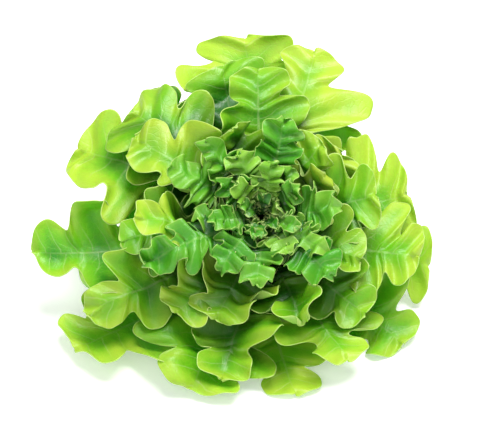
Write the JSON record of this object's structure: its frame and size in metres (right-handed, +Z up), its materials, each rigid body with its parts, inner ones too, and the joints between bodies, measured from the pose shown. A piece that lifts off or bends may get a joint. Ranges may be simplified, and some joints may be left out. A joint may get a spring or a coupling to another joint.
{
  "type": "oak leaf lettuce",
  "caption": "Loose green head of oak leaf lettuce lying on its outer leaves: lobed, wavy leaves in a spiral round a cut stem, with a dense frilled heart.",
  "frame": {"origin": "on the surface the head rests on, below the middle of its bounding box", "axes": "+Z up; the head's own axis leans out towards -Y and up, so the heart faces -Y and +Z and the cut stem is at +Y"},
  "size_m": [0.298, 0.2566, 0.1546],
  "materials": {
    "stem": "moist cut stem, pale green-white",
    "outer_leaf": "satin leaf, mid green with pale ribs",
    "middle_leaf": "satin leaf, bright yellow-green",
    "heart_leaf": "satin frilled leaf, darker green in the depths"
  },
  "bodies": {
    "root": {"stem": "stem", "leaf_outer_01": "outer_leaf", "leaf_outer_02": "outer_leaf", "leaf_outer_03": "outer_leaf", "leaf_outer_04": "outer_leaf", "leaf_outer_05": "outer_leaf", "leaf_outer_06": "outer_leaf", "leaf_outer_07": "outer_leaf", "leaf_outer_08": "outer_leaf", "leaf_outer_09": "outer_leaf", "leaf_outer_10": "outer_leaf", "leaf_outer_11": "outer_leaf", "leaf_outer_12": "outer_leaf", "leaf_outer_13": "outer_leaf", "leaf_outer_14": "outer_leaf", "leaf_middle_01": "middle_leaf", "leaf_middle_02": "middle_leaf", "leaf_middle_03": "middle_leaf", "leaf_middle_04": "middle_leaf", "leaf_middle_05": "middle_leaf", "leaf_middle_06": "middle_leaf", "leaf_middle_07": "middle_leaf", "leaf_middle_08": "middle_leaf", "leaf_middle_09": "middle_leaf", "leaf_middle_10": "middle_leaf", "leaf_middle_11": "middle_leaf", "leaf_middle_12": "middle_leaf", "leaf_middle_13": "middle_leaf", "leaf_middle_14": "middle_leaf", "leaf_middle_15": "middle_leaf", "leaf_middle_16": "middle_leaf", "leaf_middle_17": "middle_leaf", "leaf_middle_18": "middle_leaf", "heart": "heart_leaf"}
  },
  "joints": []
}
